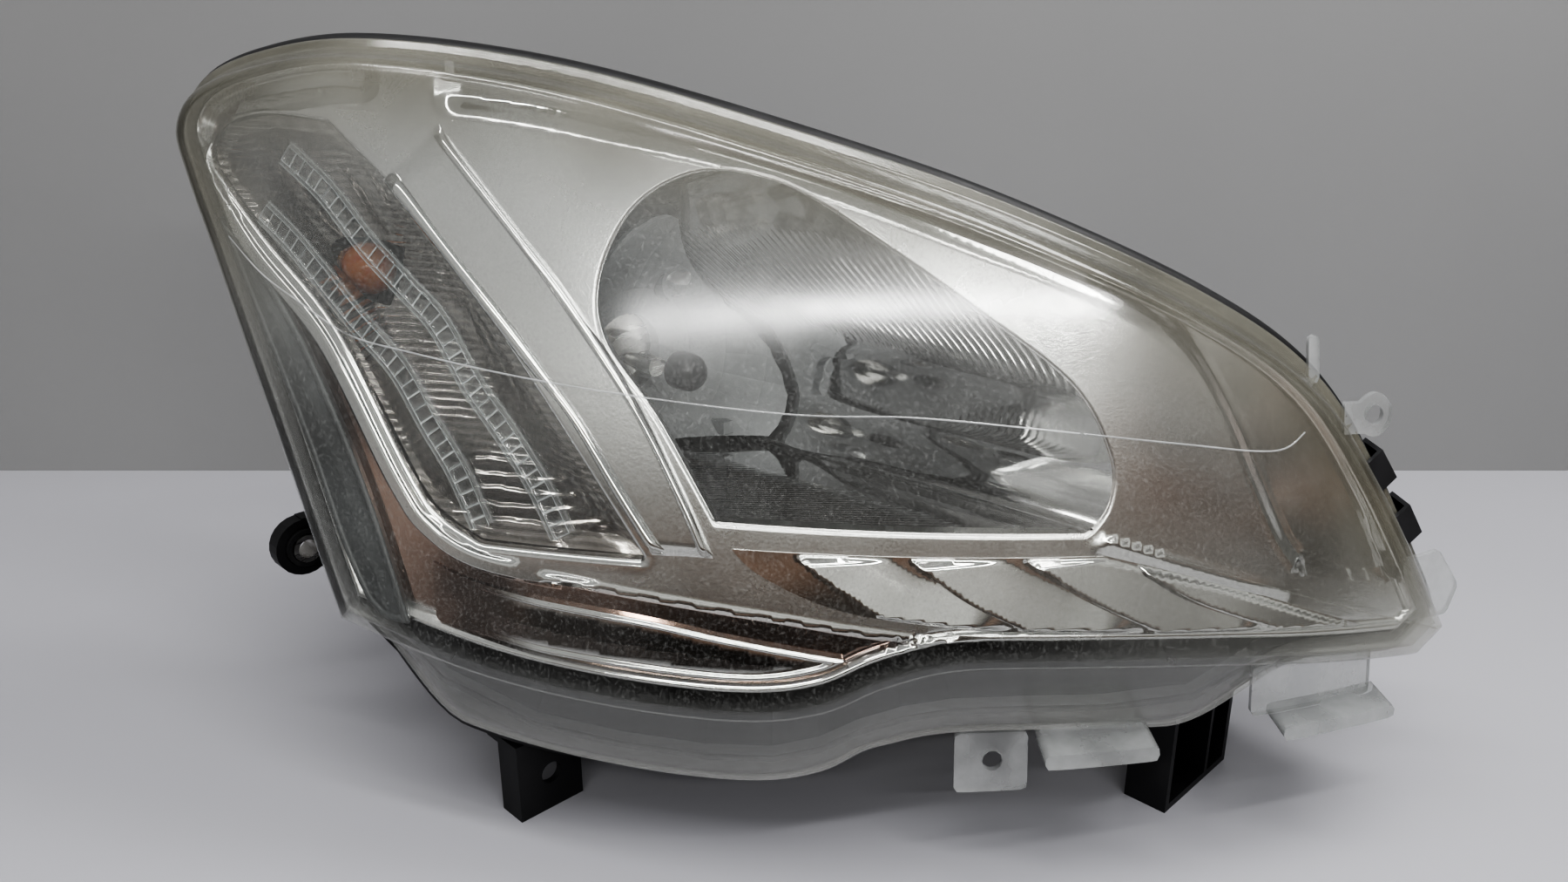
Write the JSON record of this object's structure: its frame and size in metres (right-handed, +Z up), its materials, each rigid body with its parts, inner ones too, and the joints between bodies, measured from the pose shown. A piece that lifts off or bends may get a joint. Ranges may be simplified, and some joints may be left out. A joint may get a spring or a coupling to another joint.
{
  "type": "car headlight assembly",
  "caption": "Right-hand wrap-around van headlight with clear lens, chromed bezel, aimable reflector, turn signal chamber and rear access cover.",
  "frame": {"origin": "centre of the bounding box's base, on the plane that the lower brackets stand on", "axes": "+Z up, -Y the vehicle's forward direction, +X from the wing towards the grille"},
  "size_m": [0.3586, 0.4918, 0.3105],
  "materials": {
    "lens_clear": "clear moulded polycarbonate, weathered, with haze, fine scratches and a yellowed upper rim",
    "seal_rubber": "soft black rubber",
    "housing_black": "black moulded plastic with a faint grain",
    "bezel_chrome": "vacuum-metallised plastic, mirror bright in places and satin in others",
    "blade_charcoal": "charcoal grey satin plastic",
    "fitting_black": "black moulded plastic",
    "fitting_grey": "grey nylon",
    "bulb_glass": "clear quartz glass",
    "amber_glass": "amber coated glass",
    "bulb_brass": "bright brass cap",
    "steel": "zinc-plated steel"
  },
  "bodies": {
    "lamp_body": {"lens_cover": "lens_clear", "lens_seal": "seal_rubber", "bezel_frame": "bezel_chrome", "outer_blade": "blade_charcoal", "lower_blade": "bezel_chrome", "twin_bar_trim": "bezel_chrome", "flute_panel": "bezel_chrome", "turn_signal_inner_lens": "lens_clear", "ribbed_strip_outer": "lens_clear", "ribbed_strip_inner": "lens_clear", "lens_clip_1": "fitting_black", "lens_clip_2": "fitting_black", "housing_shell": "housing_black", "turn_signal_reflector": "bezel_chrome", "pivot_stud": "steel", "levelling_motor": "fitting_black", "main_connector": "fitting_black", "vent_cap_1": "seal_rubber", "vent_cap_2": "seal_rubber", "box_bracket": "housing_black", "lower_outer_bracket": "housing_black", "rear_leg_bracket": "housing_black", "bracket_screw_1": "steel", "bracket_screw_2": "steel", "bracket_screw_3": "steel", "bracket_screw_4": "steel", "bracket_screw_5": "steel", "bracket_screw_6": "steel", "side_ear_grommet": "seal_rubber", "side_ear_sleeve": "steel"},
    "aim_pivot": {"pivot_socket": "fitting_grey"},
    "reflector": {"main_reflector": "bezel_chrome", "levelling_socket": "fitting_grey", "sideways_socket": "fitting_grey", "headlamp_bulb_glass": "bulb_glass", "headlamp_bulb_base": "steel"},
    "levelling_rod": {"levelling_rod": "fitting_grey"},
    "sideways_rod": {"sideways_rod": "fitting_grey"},
    "levelling_knob": {"levelling_knob": "fitting_grey"},
    "sideways_knob": {"sideways_knob": "fitting_grey"},
    "bulb_clip": {"bulb_clip": "steel"},
    "sidelight": {"sidelight_holder": "fitting_grey", "sidelight_bulb": "bulb_glass"},
    "cover_seal": {"cover_seal": "seal_rubber"},
    "rear_cover": {"rear_cover": "fitting_black"},
    "turn_signal_seal": {"turn_signal_seal": "seal_rubber"},
    "turn_signal_holder": {"turn_signal_holder": "fitting_grey", "turn_signal_bulb": "amber_glass", "turn_signal_bulb_base": "bulb_brass"}
  },
  "joints": [
    {"name": "sideways_aim", "type": "hinge", "parent": "lamp_body", "child": "aim_pivot", "pos_m": [0.03475, 0.08291, 0.232], "axis": [0, 0, 1], "range_deg": [-3, 3]},
    {"name": "height_aim", "type": "hinge", "parent": "aim_pivot", "child": "reflector", "pos_m": [0.03475, 0.08291, 0.232], "axis": [1, 0, 0], "range_deg": [-3, 3]},
    {"name": "levelling_rod_slide", "type": "slide", "parent": "lamp_body", "child": "levelling_rod", "axis": [0, 1, 0], "range_m": [-0.0068, 0.0068]},
    {"name": "sideways_rod_slide", "type": "slide", "parent": "lamp_body", "child": "sideways_rod", "axis": [0, 1, 0], "range_m": [-0.0058, 0.0058]},
    {"name": "levelling_knob_turn", "type": "hinge", "parent": "lamp_body", "child": "levelling_knob", "pos_m": [0.03475, 0.13791, 0.108], "axis": [0, 1, 0], "range_deg": [-620, 620]},
    {"name": "sideways_knob_turn", "type": "hinge", "parent": "lamp_body", "child": "sideways_knob", "pos_m": [-0.07025, 0.10791, 0.232], "axis": [0, 1, 0], "range_deg": [-520, 520]},
    {"name": "bulb_clip_swing", "type": "hinge", "parent": "reflector", "child": "bulb_clip", "pos_m": [-0.02625, 0.08191, 0.141], "axis": [1, 0, 0], "range_deg": [-75, 0]},
    {"name": "sidelight_pull", "type": "slide", "parent": "reflector", "child": "sidelight", "axis": [0, 1, 0], "range_m": [0, 0.03]},
    {"name": "cover_slide", "type": "slide", "parent": "lamp_body", "child": "cover_seal", "axis": [0, 1, 0], "range_m": [0, 0.08]},
    {"name": "cover_twist", "type": "hinge", "parent": "cover_seal", "child": "rear_cover", "pos_m": [-0.02625, 0.12391, 0.17], "axis": [0, 1, 0], "range_deg": [-30, 0]},
    {"name": "signal_holder_slide", "type": "slide", "parent": "lamp_body", "child": "turn_signal_seal", "axis": [0, 1, 0], "range_m": [0, 0.11]},
    {"name": "signal_holder_twist", "type": "hinge", "parent": "turn_signal_seal", "child": "turn_signal_holder", "pos_m": [-0.11225, 0.22891, 0.212], "axis": [0, 1, 0], "range_deg": [0, 45]}
  ],
  "couplings": [
    {"joint": "levelling_rod_slide", "follows": "height_aim", "m_per_rad": 0.124},
    {"joint": "levelling_knob_turn", "follows": "height_aim", "ratio": 194.78},
    {"joint": "sideways_rod_slide", "follows": "sideways_aim", "m_per_rad": -0.105},
    {"joint": "sideways_knob_turn", "follows": "sideways_aim", "ratio": 164.93}
  ]
}
